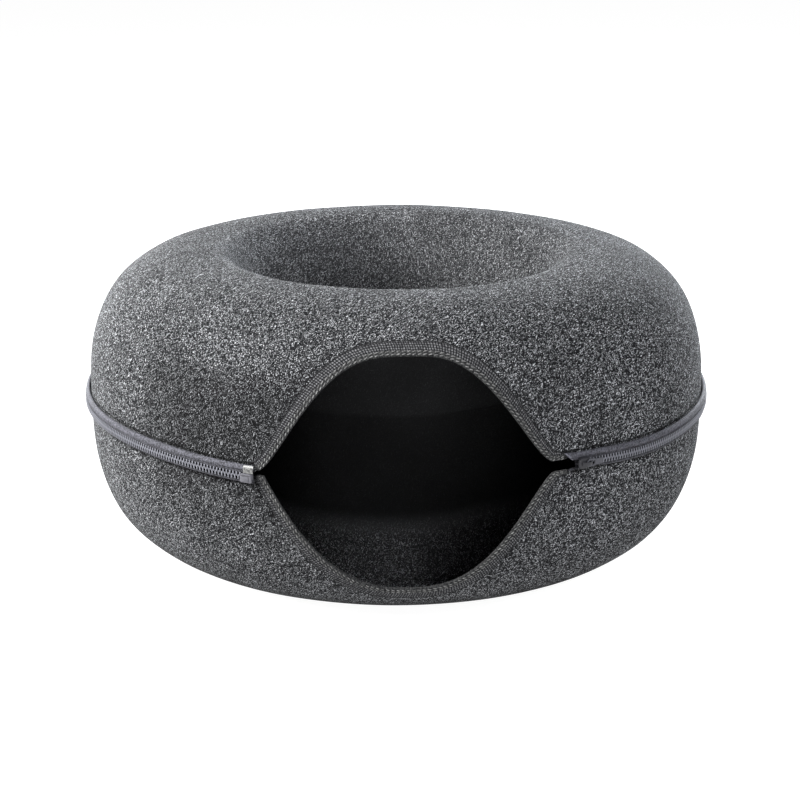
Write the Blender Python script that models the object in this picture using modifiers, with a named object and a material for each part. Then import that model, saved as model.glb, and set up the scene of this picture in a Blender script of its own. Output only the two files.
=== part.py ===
"""Felt cat tunnel bed: a ring of moulded felt with an entrance in front and a zip round its widest level.

Frame: metres, +Z up, origin on the floor at the middle of the footprint, entrance towards -Y.
Every piece is modelled about the ring's own axis and hangs on an empty that stands on that axis.
Azimuth is measured about that axis from -Y, positive towards +X.
"""
import math

import bmesh
import bpy
import numpy as np
from mathutils import Matrix, Vector

MM = 0.001

# Ring of felt: the entrance takes the front of the outer wall, so the footprint's middle lies behind the axis
AXIS_Y = -7.3 * MM
OUTER_RADIUS = 250 * MM
CROWN_RADIUS = 148 * MM
HOLE_RADIUS = 125 * MM
WIDEST_HEIGHT = 116 * MM
RING_HEIGHT = 234 * MM
BASE_DROP = 1.5 * MM
FELT_THICKNESS = 4 * MM
UPPER_SHOULDER = 2.73
LOWER_SHOULDER = 2.70
HOLE_MOUTH = 1.5
HOLE_FOOT = 2.0
RING_STEPS = 60
SHOULDER_STEPS = 11
HOLE_STEPS = 6

# Lapped seam in the hole wall
SEAM_LOW = 133 * MM
SEAM_HIGH = 143 * MM
SEAM_BEND = 4 * MM
SEAM_GAP = 0.4 * MM

# Zip round the outside
ZIP_HEIGHT = 121.5 * MM
GAP = 0.3 * MM
CHAIN_HALF = 2.85 * MM
CHAIN_INNER = 252.3 * MM
CHAIN_OUTER = 254.8 * MM
TAPE_START = -24.4
TAPE_END = 29.6
CHAIN_START = -26.4
CHAIN_END = 32.9
FILM_START = -26.8
FILM_END = -24.7
FILM_THICKNESS = 0.3 * MM

# Entrance: a lip of each half, as heights over the azimuth
CUT_START = -23.6
CUT_END = 29.4
BINDING_END = 29.0
LIP_STATIONS = 46
LIPS = {
    "upper": {
        "centre": 3.2, "crest": 206.2 * MM, "sign": 1,
        "left": {"reach": 24.6, "sharpness": 1.64, "flare": 1.03, "end": 124.2 * MM},
        "right": {"reach": 23.4, "sharpness": 1.44, "flare": 1.49, "end": 127.4 * MM},
        "start": -21.4, "band_middle": 12.5 * MM, "band_left": 7.5 * MM, "band_right": 8.0 * MM,
    },
    "lower": {
        "centre": 2.1, "crest": 34.5 * MM, "sign": -1,
        "left": {"reach": 25.2, "sharpness": 1.25, "flare": 1.02, "end": 120.4 * MM},
        "right": {"reach": 24.9, "sharpness": 1.40, "flare": 1.38, "end": 120.2 * MM},
        "start": -22.9, "band_middle": 12.0 * MM, "band_left": 4.5 * MM, "band_right": 8.0 * MM,
    },
}

# Binding folded over each lip
BINDING_THICKNESS = 0.9 * MM
BINDING_INSIDE_GAP = 1.0 * MM
BINDING_INSIDE_BAND = 7.0 * MM
FOLD_CORNER = 1.4 * MM
EDGE_SETBACK = BINDING_THICKNESS + GAP

# Slider, pull and retainer box
SLIDER_AZIMUTH = 32.6
SLIDER_LENGTH = 12.4 * MM
BOX_AZIMUTH = -25.4


def superellipse_arc(reach, rise, exponent, steps):
    """Quarter superellipse from (reach, 0) to (0, rise), both ends kept."""
    turns = [math.pi / 2 * step / steps for step in range(steps + 1)]
    power = 2 / exponent
    return [(reach * max(math.cos(turn), 0) ** power, rise * math.sin(turn) ** power) for turn in turns]


def upper_profile():
    """Outer face of the upper half, from the lapped seam up the hole wall, over the crown, down to the zip."""
    rise = RING_HEIGHT - WIDEST_HEIGHT
    hole = superellipse_arc(CROWN_RADIUS - HOLE_RADIUS, rise, HOLE_MOUTH, HOLE_STEPS)
    wall = [(CROWN_RADIUS - reach, WIDEST_HEIGHT + height) for reach, height in hole]
    lap = FELT_THICKNESS + SEAM_GAP
    seam_radius = hole_radius_at(SEAM_HIGH)
    seam = [
        (hole_radius_at(SEAM_LOW) + lap, SEAM_LOW),
        (seam_radius + lap, SEAM_HIGH + GAP),
        (hole_radius_at(SEAM_HIGH + SEAM_BEND), SEAM_HIGH + SEAM_BEND + GAP),
    ]
    above_seam = [point for point in wall if point[1] > SEAM_HIGH + 3 * SEAM_BEND]
    shoulder = superellipse_arc(OUTER_RADIUS - CROWN_RADIUS, rise, UPPER_SHOULDER, SHOULDER_STEPS)
    outer = [(CROWN_RADIUS + reach, WIDEST_HEIGHT + height) for reach, height in reversed(shoulder)]
    edge = ZIP_HEIGHT + GAP / 2
    outer = [point for point in outer[1:] if point[1] > edge + 2 * MM]
    return seam + above_seam + outer + [(outer_radius_at(edge), edge)]


def lower_profile():
    """Outer face of the lower half, from the zip down the outer wall, under the base, up to the lapped seam."""
    drop = WIDEST_HEIGHT + BASE_DROP
    edge = ZIP_HEIGHT - GAP / 2
    shoulder = superellipse_arc(OUTER_RADIUS - CROWN_RADIUS, drop, LOWER_SHOULDER, SHOULDER_STEPS)
    outer = [(CROWN_RADIUS + reach, WIDEST_HEIGHT - depth) for reach, depth in shoulder]
    foot = superellipse_arc(CROWN_RADIUS - HOLE_RADIUS, drop, HOLE_FOOT, HOLE_STEPS)
    hole = [(CROWN_RADIUS - reach, WIDEST_HEIGHT - depth) for reach, depth in reversed(foot)]
    standing = [point for point in outer + hole[1:] if point[1] > 0.5 * BASE_DROP]
    outer_wall = [point for point in standing if point[0] > CROWN_RADIUS]
    hole_wall = [point for point in standing if point[0] < CROWN_RADIUS]
    flat_outer = CROWN_RADIUS + base_reach(OUTER_RADIUS - CROWN_RADIUS, LOWER_SHOULDER)
    flat_inner = CROWN_RADIUS - base_reach(CROWN_RADIUS - HOLE_RADIUS, HOLE_FOOT)
    base = [(flat_outer, 0.0), (flat_inner, 0.0)]
    seam = [(hole_radius_at(SEAM_HIGH), SEAM_HIGH)]
    return [(outer_radius_at(edge), edge)] + outer_wall + base + hole_wall + seam


def base_reach(reach, exponent):
    """Distance from the crown circle at which the sunken superellipse meets the floor."""
    drop = WIDEST_HEIGHT + BASE_DROP
    return reach * (1 - (WIDEST_HEIGHT / drop) ** exponent) ** (1 / exponent)


def outer_radius_at(height):
    """Radius of the outer wall at a height."""
    if height >= WIDEST_HEIGHT:
        rise, exponent = RING_HEIGHT - WIDEST_HEIGHT, UPPER_SHOULDER
    else:
        rise, exponent = WIDEST_HEIGHT + BASE_DROP, LOWER_SHOULDER
    share = min(abs(height - WIDEST_HEIGHT) / rise, 1.0)
    return CROWN_RADIUS + (OUTER_RADIUS - CROWN_RADIUS) * (1 - share ** exponent) ** (1 / exponent)


def hole_radius_at(height):
    """Radius of the hole wall at a height above the widest level."""
    share = (height - WIDEST_HEIGHT) / (RING_HEIGHT - WIDEST_HEIGHT)
    return CROWN_RADIUS - (CROWN_RADIUS - HOLE_RADIUS) * (1 - share ** HOLE_MOUTH) ** (1 / HOLE_MOUTH)


def at(azimuth, radius, height):
    """Point at an azimuth in degrees, a radius and a height."""
    turn = math.radians(azimuth)
    return Vector((radius * math.sin(turn), -radius * math.cos(turn), height))


def surface(azimuth, height):
    """Point of the outer wall and its outward normal."""
    step = 0.2 * MM
    slope = (outer_radius_at(height + step) - outer_radius_at(height - step)) / (2 * step)
    turn = math.radians(azimuth)
    normal = Vector((math.sin(turn), -math.cos(turn), -slope)).normalized()
    return at(azimuth, outer_radius_at(height), height), normal


def lip_share(azimuth, lip):
    """Height of a lip above its ends as a share of the crest, and the side of the crest."""
    side = lip["left"] if azimuth < lip["centre"] else lip["right"]
    reach = min(abs(azimuth - lip["centre"]) / side["reach"], 1.0)
    return max(math.cos(math.pi / 2 * reach ** side["sharpness"]), 0.0) ** side["flare"], side


def lip_height(azimuth, lip):
    """Height of the finished edge of a lip."""
    share, side = lip_share(azimuth, lip)
    return side["end"] + (lip["crest"] - side["end"]) * share


def lip_frames(lip):
    """Stations along a lip: azimuth, height, and the unit direction into the felt as (sideways, up)."""
    frames = []
    for azimuth in np.linspace(lip["start"], BINDING_END, LIP_STATIONS):
        height = lip_height(azimuth, lip)
        step = 0.2
        rise = lip_height(min(azimuth + step, BINDING_END), lip) - lip_height(max(azimuth - step, lip["start"]), lip)
        turned = min(azimuth + step, BINDING_END) - max(azimuth - step, lip["start"])
        run = math.radians(turned) * outer_radius_at(height)
        _, normal = surface(azimuth, height)
        slant = rise / math.hypot(normal.x, normal.y)
        length = math.hypot(run, slant)
        frames.append((azimuth, height, Vector((-slant / length, run / length)) * lip["sign"]))
    return frames


def walk(azimuth, height, direction, distance):
    """Follow the outer wall for a distance in a direction given as (sideways, up)."""
    steps = 6
    for _ in range(steps):
        _, normal = surface(azimuth, height)
        stride = distance / steps
        azimuth += math.degrees(direction[0] * stride / outer_radius_at(height))
        height += direction[1] * stride * math.hypot(normal.x, normal.y)
    return azimuth, height


def band_width(azimuth, lip):
    """Width of the binding's outer leg, widest at the crest."""
    share, side = lip_share(azimuth, lip)
    narrow = lip["band_left"] if side is lip["left"] else lip["band_right"]
    return narrow + (lip["band_middle"] - narrow) * share


def binding_sections(lip):
    """Folded section of the binding at each station: outer leg, fold round the felt's edge, inner leg."""
    outside = GAP + BINDING_THICKNESS
    inside = -FELT_THICKNESS - BINDING_INSIDE_GAP
    inside_back = inside - BINDING_THICKNESS
    middle = (outside + inside_back) / 2
    sections = []
    for azimuth, height, into_felt in lip_frames(lip):
        wide = band_width(azimuth, lip)
        corners = (
            (wide, outside), (FOLD_CORNER, outside), (0.3 * FOLD_CORNER, 0.4 * MM), (0.0, middle),
            (0.3 * FOLD_CORNER, inside_back + 0.8 * MM), (FOLD_CORNER, inside_back),
            (BINDING_INSIDE_BAND, inside_back), (BINDING_INSIDE_BAND, inside),
            (BINDING_THICKNESS, inside), (BINDING_THICKNESS, GAP), (wide, GAP),
        )
        ring = []
        for across, proud in corners:
            point, normal = surface(*walk(azimuth, height, into_felt, across))
            ring.append(point + normal * proud)
        sections.append(ring)
    return sections


def mitre_first(sections, height):
    """Slide the first section along the run of the strip until it lies level at a height."""
    first, second = sections[0], sections[1]
    level = []
    for point, following in zip(first, second):
        run = point - following
        level.append(point + run * ((height - point.z) / run.z))
    return [level] + sections[1:]


def material(name, colour, roughness, metallic=0.0):
    """Plain finish of one kind of piece."""
    finish = bpy.data.materials.new(name)
    finish.use_nodes = True
    shader = finish.node_tree.nodes["Principled BSDF"]
    shader.inputs["Base Color"].default_value = (*colour, 1.0)
    shader.inputs["Roughness"].default_value = roughness
    shader.inputs["Metallic"].default_value = metallic
    finish.diffuse_color = (*colour, 1.0)
    return finish


def collection(name):
    """New collection in the scene."""
    group = bpy.data.collections.new(name)
    bpy.context.scene.collection.children.link(group)
    return group


def ring_axis():
    """Empty on the ring's axis that carries every piece."""
    empty = bpy.data.objects.get("ring_axis")
    if empty is None:
        empty = bpy.data.objects.new("ring_axis", None)
        empty.location = (0.0, AXIS_Y, 0.0)
        bpy.context.scene.collection.objects.link(empty)
    return empty


def add_object(name, form, group, finish=None):
    """Object for a bmesh, carried by the ring's axis; a finished piece is shaded smooth."""
    mesh = bpy.data.meshes.new(name)
    form.to_mesh(mesh)
    form.free()
    piece = bpy.data.objects.new(name, mesh)
    group.objects.link(piece)
    piece.parent = ring_axis()
    if finish is not None:
        mesh.materials.append(finish)
        mesh.shade_smooth()
        mesh.set_sharp_from_angle(angle=math.radians(35))
    return piece


def add_cutter(name, form, group):
    """Object that only shapes other pieces."""
    cutter = add_object(name, form, group)
    cutter.hide_render = True
    cutter.display_type = "WIRE"
    return cutter


def turned(name, profile, closed, group, finish):
    """Profile at +X turned round Z with a Screw modifier."""
    form = bmesh.new()
    points = [form.verts.new((radius, 0.0, height)) for radius, height in profile]
    for start, end in zip(points, points[1:]):
        form.edges.new((start, end))
    if closed:
        form.edges.new((points[-1], points[0]))
    piece = add_object(name, form, group, finish)
    screw = piece.modifiers.new("turn", "SCREW")
    screw.steps = RING_STEPS
    screw.render_steps = RING_STEPS
    screw.use_merge_vertices = True
    screw.merge_threshold = 0.05 * MM
    screw.use_smooth_shade = True
    return piece


def cut(piece, cutter, operation="DIFFERENCE"):
    """Exact Boolean with a cutter or another solid."""
    boolean = piece.modifiers.new(operation.lower(), "BOOLEAN")
    boolean.operation = operation
    boolean.solver = "EXACT"
    boolean.object = cutter


def loft(name, sections, group, finish):
    """Solid through sections of equal point count, with flat ends."""
    form = bmesh.new()
    rings = [[form.verts.new(point) for point in section] for section in sections]
    for ring, following in zip(rings, rings[1:]):
        for index in range(len(ring)):
            after = (index + 1) % len(ring)
            form.faces.new((ring[index], following[index], following[after], ring[after]))
    form.faces.new(rings[0])
    form.faces.new(reversed(rings[-1]))
    bmesh.ops.recalc_face_normals(form, faces=form.faces)
    return add_object(name, form, group, finish) if finish else add_cutter(name, form, group)


def entrance_cutter(name, lip, group):
    """Solid that takes the entrance out of one half: square through the felt, flared inside and outside."""
    edge = [walk(azimuth, height, into, EDGE_SETBACK) for azimuth, height, into in lip_frames(lip)]
    level = ZIP_HEIGHT - lip["sign"] * 30 * MM
    start, end = (CUT_START, edge[0][1]), (CUT_END, edge[-1][1])
    outline = [(CUT_START, level), start] + edge + [end, (CUT_END, level)]
    faces = [surface(azimuth, height) for azimuth, height in outline]
    near = [at(azimuth, 0.72 * OUTER_RADIUS, height) for azimuth, height in outline]
    behind = [point - normal * 1.5 * FELT_THICKNESS for point, normal in faces]
    before = [point + normal * 0.5 * FELT_THICKNESS for point, normal in faces]
    far = [at(azimuth, 1.2 * OUTER_RADIUS, height) for azimuth, height in outline]
    return loft(name, [near, behind, before, far], group, None)


def wedge(name, start, end, group):
    """Upright wedge between two azimuths, from the axis to outside the zip."""
    reach = 1.4 * OUTER_RADIUS
    corners = [(0.0, 0.0), (start, reach), (end, reach)]
    low = [at(azimuth, radius, ZIP_HEIGHT - 20 * MM) for azimuth, radius in corners]
    high = [at(azimuth, radius, ZIP_HEIGHT + 20 * MM) for azimuth, radius in corners]
    return loft(name, [low, high], group, None)


def block(form, low, high, bevel=0.0):
    """Box between two corners, with its edges bevelled, added to a bmesh."""
    size = Vector(high) - Vector(low)
    centre = (Vector(high) + Vector(low)) / 2
    made = bmesh.ops.create_cube(form, size=1.0, matrix=Matrix.LocRotScale(centre, None, size))
    if bevel:
        edges = {edge for vert in made["verts"] for edge in vert.link_edges}
        bmesh.ops.bevel(form, geom=list(edges), offset=bevel, segments=2, affect="EDGES", profile=0.5)


def solid_block(name, low, high, bevel, group):
    """Box as an object of its own, for joining to another."""
    form = bmesh.new()
    block(form, low, high, bevel)
    return add_cutter(name, form, group)


def place_on_zip(piece, azimuth):
    """Turn a piece modelled at azimuth 0 about the ring's axis to its place on the zip."""
    piece.rotation_euler = (0.0, 0.0, math.radians(azimuth))


def tape_profile(sign):
    """Section of one zip tape: thin beside the teeth, its outer edge turned under, top to bottom outside."""
    points = (
        (8.2, 252.8), (3.15, 254.1), (3.15, 253.1), (4.6, 252.8), (4.6, 250.4), (8.2, 250.4), (8.9, 251.6),
    )
    profile = [(radius * MM, ZIP_HEIGHT + sign * height * MM) for height, radius in points]
    return profile if sign > 0 else profile[::-1]


def build_shells(parts, cutters, felt):
    """Both felt halves with their share of the entrance cut out."""
    for half, profile in (("upper", upper_profile()), ("lower", lower_profile())):
        shell = turned("shell_" + half, profile, False, parts, felt)
        wall = shell.modifiers.new("felt", "SOLIDIFY")
        wall.thickness = FELT_THICKNESS
        wall.offset = -1.0
        wall.use_even_offset = True
        cut(shell, entrance_cutter("cut_entrance_" + half, LIPS[half], cutters))


def build_bindings(parts, tape):
    """Folded tape on each lip, its left end cut level beside the zip."""
    for half, lip in LIPS.items():
        sections = mitre_first(binding_sections(lip), lip["left"]["end"])
        loft("binding_" + half, sections, parts, tape)


def build_zip(parts, cutters, tape, teeth, clear):
    """Two tapes, the band of teeth and the end film, each a turned ring cut open at the entrance."""
    opening = wedge("cut_tapes", TAPE_START, TAPE_END, cutters)
    for half, sign in (("upper", 1), ("lower", -1)):
        ring = turned("zip_tape_" + half, tape_profile(sign), True, parts, tape)
        cut(ring, opening)
    chain = turned("zip_chain", [
        (CHAIN_OUTER, ZIP_HEIGHT + CHAIN_HALF), (CHAIN_OUTER, ZIP_HEIGHT - CHAIN_HALF),
        (CHAIN_INNER, ZIP_HEIGHT - CHAIN_HALF), (CHAIN_INNER, ZIP_HEIGHT + CHAIN_HALF),
    ], True, parts, teeth)
    cut(chain, wedge("cut_chain", CHAIN_START, CHAIN_END, cutters))
    low, high = ZIP_HEIGHT + 3.3 * MM, ZIP_HEIGHT + 8.1 * MM
    low_radius, high_radius = 254.4 * MM, 253.15 * MM
    film = turned("zip_film", [
        (high_radius + FILM_THICKNESS, high), (low_radius + FILM_THICKNESS, low),
        (low_radius, low), (high_radius, high),
    ], True, parts, clear)
    cut(film, wedge("keep_film", FILM_START, FILM_END, cutters), "INTERSECT")


def build_box(parts, cutters, plastic):
    """Retainer box at the left end: a block in line with the teeth and a flap over the lower tape."""
    form = bmesh.new()
    half = 4.0 * MM
    block(form, (-half, -255.3 * MM, ZIP_HEIGHT - 2.8 * MM), (half, -251.4 * MM, ZIP_HEIGHT + 2.8 * MM), 0.5 * MM)
    box = add_object("zip_box", form, parts, plastic)
    flap = solid_block("join_flap", (-0.9 * half, -255.3 * MM, ZIP_HEIGHT - 6.4 * MM),
                       (0.9 * half, -254.5 * MM, ZIP_HEIGHT - 2.0 * MM), 0.25 * MM, cutters)
    place_on_zip(flap, BOX_AZIMUTH)
    place_on_zip(box, BOX_AZIMUTH)
    cut(box, flap, "UNION")


def build_slider(parts, cutters, metal):
    """Slider of top plate, bottom plate, neck and slotted bridge, and the pull that hangs in the slot."""
    half = SLIDER_LENGTH / 2
    form = bmesh.new()
    block(form, (-half, -256.6 * MM, ZIP_HEIGHT - 5.5 * MM), (half, -255.2 * MM, ZIP_HEIGHT + 5.5 * MM), 0.5 * MM)
    for vert in form.verts:
        if vert.co.x > 0:
            vert.co.z = ZIP_HEIGHT + (vert.co.z - ZIP_HEIGHT) * 0.8
    slider = add_object("zip_slider", form, parts, metal)
    place_on_zip(slider, SLIDER_AZIMUTH)
    joined = (
        ("join_bottom_plate", (-half, -251.9 * MM, -4.1), (half, -250.7 * MM, 4.1), 0.3 * MM),
        ("join_neck", (-half + 0.4 * MM, -255.6 * MM, -1.2), (-half + 3.0 * MM, -251.5 * MM, 1.2), 0.0),
        ("join_bridge", (-2.5 * MM, -258.9 * MM, -1.3), (4.5 * MM, -256.2 * MM, 1.3), 0.4 * MM),
    )
    for name, low, high, bevel in joined:
        low = (low[0], low[1], ZIP_HEIGHT + low[2] * MM)
        high = (high[0], high[1], ZIP_HEIGHT + high[2] * MM)
        piece = solid_block(name, low, high, bevel, cutters)
        place_on_zip(piece, SLIDER_AZIMUTH)
        cut(slider, piece, "UNION")
    slot = solid_block("cut_slot", (-0.6 * MM, -258.2 * MM, ZIP_HEIGHT - 3 * MM),
                       (3.0 * MM, -256.6 * MM, ZIP_HEIGHT + 3 * MM), 0.0, cutters)
    place_on_zip(slot, SLIDER_AZIMUTH)
    cut(slider, slot)

    form = bmesh.new()
    block(form, (1.1 * MM, -257.85 * MM, ZIP_HEIGHT - 2.9 * MM), (15.0 * MM, -256.95 * MM, ZIP_HEIGHT + 2.9 * MM))
    corners = [edge for edge in form.edges if abs((edge.verts[0].co - edge.verts[1].co).y) > 0.5 * MM]
    bmesh.ops.bevel(form, geom=corners, offset=0.9 * MM, segments=2, affect="EDGES", profile=0.5)
    pull = add_object("zip_pull", form, parts, metal)
    eye = solid_block("cut_eye", (2.3 * MM, -259 * MM, ZIP_HEIGHT - 1.75 * MM),
                      (7.2 * MM, -256 * MM, ZIP_HEIGHT + 1.75 * MM), 0.0, cutters)
    for piece in (pull, eye):
        place_on_zip(piece, SLIDER_AZIMUTH)
    cut(pull, eye)


def main():
    for leftover in list(bpy.data.objects):
        bpy.data.objects.remove(leftover)
    parts = collection("felt_cat_tunnel_bed")
    cutters = collection("cutters")
    felt = material("grey_felt", (0.13, 0.13, 0.14), 0.95)
    binding = material("binding_tape", (0.10, 0.10, 0.105), 0.85)
    tape = material("zip_tape", (0.18, 0.18, 0.20), 0.8)
    teeth = material("zip_teeth", (0.28, 0.28, 0.31), 0.4)
    clear = material("zip_end_film", (0.55, 0.55, 0.58), 0.2)
    metal = material("slider_paint", (0.22, 0.22, 0.25), 0.35)
    build_shells(parts, cutters, felt)
    build_bindings(parts, binding)
    build_zip(parts, cutters, tape, teeth, clear)
    build_box(parts, cutters, teeth)
    build_slider(parts, cutters, metal)


main()
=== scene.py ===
"""Felt cat tunnel bed, dressed: moulded felt halves, stitched bindings and a zip with single teeth.

Frame: metres, +Z up, as packed. Azimuth is measured in degrees about the ring's axis, from -Y towards +X.
A section point is (across, proud): its distance along the felt from a finished edge, and over the felt.
"""
import math

import bpy
import numpy as np
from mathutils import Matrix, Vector


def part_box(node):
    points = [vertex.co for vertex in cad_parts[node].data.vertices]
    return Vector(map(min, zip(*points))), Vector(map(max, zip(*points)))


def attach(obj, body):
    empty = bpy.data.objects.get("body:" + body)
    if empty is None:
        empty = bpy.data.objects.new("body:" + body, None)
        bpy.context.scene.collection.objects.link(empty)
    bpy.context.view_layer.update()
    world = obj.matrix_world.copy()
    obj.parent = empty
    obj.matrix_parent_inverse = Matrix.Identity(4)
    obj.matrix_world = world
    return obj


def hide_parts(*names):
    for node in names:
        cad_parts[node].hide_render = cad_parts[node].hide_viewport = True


MM = 0.001

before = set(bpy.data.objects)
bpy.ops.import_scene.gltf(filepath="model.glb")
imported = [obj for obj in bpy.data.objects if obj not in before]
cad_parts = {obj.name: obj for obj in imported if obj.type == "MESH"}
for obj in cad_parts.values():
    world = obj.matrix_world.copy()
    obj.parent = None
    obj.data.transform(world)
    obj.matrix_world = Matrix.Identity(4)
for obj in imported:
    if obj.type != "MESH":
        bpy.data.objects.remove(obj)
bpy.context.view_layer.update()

# Driving sizes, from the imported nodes
shell_low, shell_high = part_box("shell_upper")
chain_low, chain_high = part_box("zip_chain")
OUTER_RADIUS = (shell_high.x - shell_low.x) / 2
AXIS_Y = shell_high.y - OUTER_RADIUS
RING_HEIGHT = shell_high.z
ZIP_HEIGHT = (chain_low.z + chain_high.z) / 2
CHAIN_OUTER = chain_high.x
SEAM_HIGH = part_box("shell_lower")[1].z

# Ring: radii, heights, and the powers of its superellipse quarters
CROWN_RADIUS = 148 * MM
HOLE_RADIUS = 125 * MM
WIDEST_HEIGHT = 116 * MM
BASE_DROP = 1.5 * MM
UPPER_SHOULDER = 2.73
LOWER_SHOULDER = 2.70
HOLE_MOUTH = 1.5
HOLE_FOOT = 2.0
QUARTER_POINTS = 700

# Mouth of the hole: fuller away from the front, and drawn in round an azimuth at the left
SOFT_MOUTH = 3.0
SOFT_FROM = 20.0
SOFT_EASE = 50.0
DRAWN_IN = 9 * MM
DRAWN_AZIMUTH = -95.0
DRAWN_WIDTH = 50.0
DRAWN_EASE = 12 * MM
MOUTH_EASE = 45 * MM

# Felt, its soft waves, and the seam where the upper half passes behind the lower one in the hole
FELT_THICKNESS = 4 * MM
FELT_EDGE_ROUND = 0.8 * MM
FELT_ROWS = 84
FINE_FROM, FINE_TO, FINE_STEP, COARSE_STEP = -32, 38, 0.45, 1.1
GAP = 0.3 * MM
WAVE_SEED = 11
WAVE_COUNT = 12
WAVE_LENGTHS = (0.06, 0.16)
WAVE_HEIGHT = 0.8 * MM
WAVE_FROM_EDGE = 14 * MM
WAVE_EASE = 35 * MM
STANDING_HEIGHT = 20 * MM
SEAM_LOW = 133 * MM
SEAM_BEND = 13 * MM
LAP = FELT_THICKNESS + 0.4 * MM

# Zip: azimuths of its ends and fittings, and its swells as (rise, azimuth, width)
TAPE_START = -23.4
TAPE_END = 29.5
TEETH_START = -25.4
TEETH_END = 31.2
SLIDER_AZIMUTH = 31.7
SLIDER_MOUTH = SLIDER_AZIMUTH + 0.4
SLIDER_EASE = 3.0
BOX_AZIMUTH = -24.5
FILM_START = -24.95
FILM_END = -23.2
ZIP_SINK = 1.5 * MM
ZIP_SWELLS = ((4.2 * MM, 31, 11.5), (0.9 * MM, -50, 14), (-0.9 * MM, -25, 10))

# Zip tape: how far each stands away before the slider, and its section in millimetres as (up, radius)
TAPES_PART = {1: 1.0 * MM, -1: 1.8 * MM}
TAPE_STATIONS = 760
TAPE_FOOT = 2.3 * MM
TAPE_TOP = 7.8 * MM
TAPE_SLANT, SLANT_EASE = 1.2, 5.0
LOWER_END = 0.8
TUCK_RIGHT, TUCK_LEFT, TUCK_EASE = 0.64, 0.4, 60.0
TUCK_SLIDER, SLIDER_BACK = 0.45, 34.0
TAPE_SECTION = (
    (2.3, 253.95), (3.2, 253.95), (3.65, 253.85), (3.9, 253.3), (4.15, 253.85), (5.0, 254.15), (6.1, 254.0),
    (7.1, 253.35), (7.8, 252.4), (7.7, 251.2), (7.0, 250.6), (5.4, 250.45), (3.9, 250.45), (3.9, 252.2),
    (2.3, 252.95),
)

# Film over the upper tape's end, in millimetres as (up, radius)
FILM_LINE = ((2.35, 254.1), (3.4, 254.15), (4.6, 254.25), (5.8, 254.15), (6.9, 253.65), (7.7, 252.8))
FILM_THICKNESS = 0.18 * MM

# One tooth: stations in millimetres as (up, half length, half depth), and how round it is
TOOTH_STATIONS = (
    (2.75, 0.95, 1.0), (2.25, 0.74, 1.15), (1.55, 0.52, 1.2), (0.8, 0.72, 1.3), (0.1, 0.64, 1.2),
    (-0.75, 0.42, 0.8),
)
TOOTH_ROUND = 0.35
TOOTH_PITCH = 2.75 * MM
TOOTH_DEPTH = 1.25 * MM

# Entrance: a lip of each half, as heights over the azimuth
BINDING_END = 29.0
LIP_STATIONS = 900
CORNER_LEAD, LEFT_EASE, RIGHT_EASE = 1.6, 1.2, 0.8
LIPS = {
    "upper": {
        "centre": 3.2, "crest": 205.7 * MM, "sign": 1, "bevel": 0.42,
        "left": {"reach": 26.17, "sharpness": 1.77, "flare": 1.56, "end": 122.1 * MM},
        "right": {"reach": 23.1, "sharpness": 1.44, "flare": 1.49, "end": 127.4 * MM},
        "start": -22.35, "cut": (1.2 * MM, 2.2 * MM, 0.4 * MM), "tucked": 0.25,
        "band_middle": 12.5 * MM, "band_left": 7.5 * MM, "band_right": 8.0 * MM,
    },
    "lower": {
        "centre": 2.1, "crest": 34.5 * MM, "sign": -1, "bevel": 0.42,
        "left": {"reach": 23.8, "sharpness": 1.26, "flare": 0.98, "end": 120.4 * MM},
        "right": {"reach": 24.55, "sharpness": 1.40, "flare": 1.38, "end": 120.2 * MM},
        "start": -22.75, "cut": (0.8 * MM, 1.4 * MM, 1.6 * MM), "tucked": 0.5,
        "band_middle": 12.0 * MM, "band_left": 7.0 * MM, "band_right": 8.0 * MM,
    },
}

# Binding folded over each lip; the felt under it is pressed thin
BINDING_THICKNESS = 0.7 * MM
BINDING_GAP = 0.15 * MM
BINDING_FOLD = 1.2 * MM
BINDING_INSIDE_BAND = 7.0 * MM
BINDING_TAPER = 0.45
LEG_POINTS = 34
CUT_EASE = 16 * MM
PRESSED_SHARE = 0.6
PRESSED_WIDTH = 8 * MM
PRESSED_EASE = 9 * MM

# Its ribs, wales, selvedge and stitches
RIB_PITCH = 1.75 * MM
WALE_PITCH = 1.9 * MM
RIB_HEIGHT = 0.09 * MM
RIB_START, RIB_EASE = 0.46, 0.8 * MM
SELVEDGE_WIDTH = 0.9 * MM
SELVEDGE_EASE = 0.5 * MM
SELVEDGE_HEIGHT, SELVEDGE_MIDDLE, SELVEDGE_SPREAD = 0.22 * MM, 0.5 * MM, 0.35 * MM
# Jump in the map that marks the selvedge for its painted shadow
SELVEDGE_SHADOW_MARK = 30 * MM
STITCH_PITCH = 3.7 * MM
STITCH_ROWS = (1.7 * MM, 3.9 * MM)
STITCH_REACH = 0.37 * STITCH_PITCH
STITCH_SLANT = 0.36
STITCH_ARCH = 0.16 * MM
STITCH_SUNK = 0.05 * MM
STITCH_FROM_END = 2 * MM
STITCH_FULL_BAND = 9 * MM
THREAD_RADIUS = 0.37 * MM

# Fibres of the felt: the ways they lie, as turns about x, y and z, and their size and bundles
FIBRE_LAYS = ((0.0, 0.0, 0.0), (0.9, 0.3, 0.6), (0.4, 1.2, 1.5), (1.4, 0.5, 2.3))
FIBRE_SIZE = (0.68 * MM, 0.68 * MM, 3.2 * MM)
BUNDLES_PER_METRE = 560.0
MARL_MEAN = 0.1

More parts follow.
